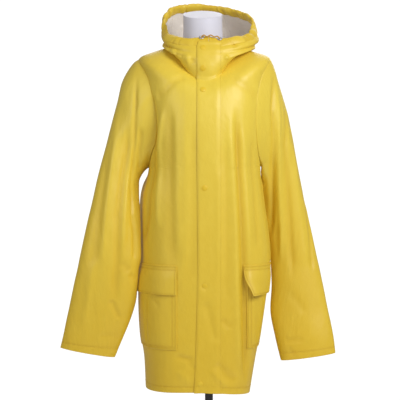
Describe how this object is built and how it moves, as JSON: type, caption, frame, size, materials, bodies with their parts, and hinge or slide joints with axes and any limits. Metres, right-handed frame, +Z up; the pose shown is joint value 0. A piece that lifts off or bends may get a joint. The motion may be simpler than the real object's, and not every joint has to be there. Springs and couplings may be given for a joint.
{
  "type": "hooded raincoat on a dress form with a pole and round foot",
  "caption": "Buttoned hooded raincoat in coated cloth with storm flap, patch pockets and open sleeves, worn by a limbless dress form on a pole with a flat round foot.",
  "frame": {"origin": "on the floor, under the middle of the pole", "axes": "+Z up, the coat's front faces -Y, the wearer's right is at -X"},
  "size_m": [0.713, 0.3758, 1.5644],
  "materials": {
    "yellow_cloth": "smooth rubber-coated cloth, soft sheen",
    "yellow_snap": "glossy coated stud cap",
    "silver": "plain metal ring",
    "cord_yellow": "braided cord",
    "white_form": "satin white shell",
    "black_metal": "satin black"
  },
  "bodies": {
    "root": {"front_right": "yellow_cloth", "front_left": "yellow_cloth", "back": "yellow_cloth", "sleeve_right": "yellow_cloth", "sleeve_left": "yellow_cloth", "hood_right": "yellow_cloth", "hood_left": "yellow_cloth", "hood_crown": "yellow_cloth", "hood_rim": "yellow_cloth", "storm_flap": "yellow_cloth", "pocket_right": "yellow_cloth", "pocket_left": "yellow_cloth", "pocket_flap_right": "yellow_cloth", "pocket_flap_left": "yellow_cloth", "snap_1": "yellow_snap", "snap_2": "yellow_snap", "snap_3": "yellow_snap", "snap_4": "yellow_snap", "snap_5": "yellow_snap", "snap_6": "yellow_snap", "eyelet_right": "silver", "eyelet_left": "silver", "drawcord": "cord_yellow", "form_torso": "white_form", "stand_pole": "black_metal", "stand_base": "black_metal"}
  },
  "joints": []
}
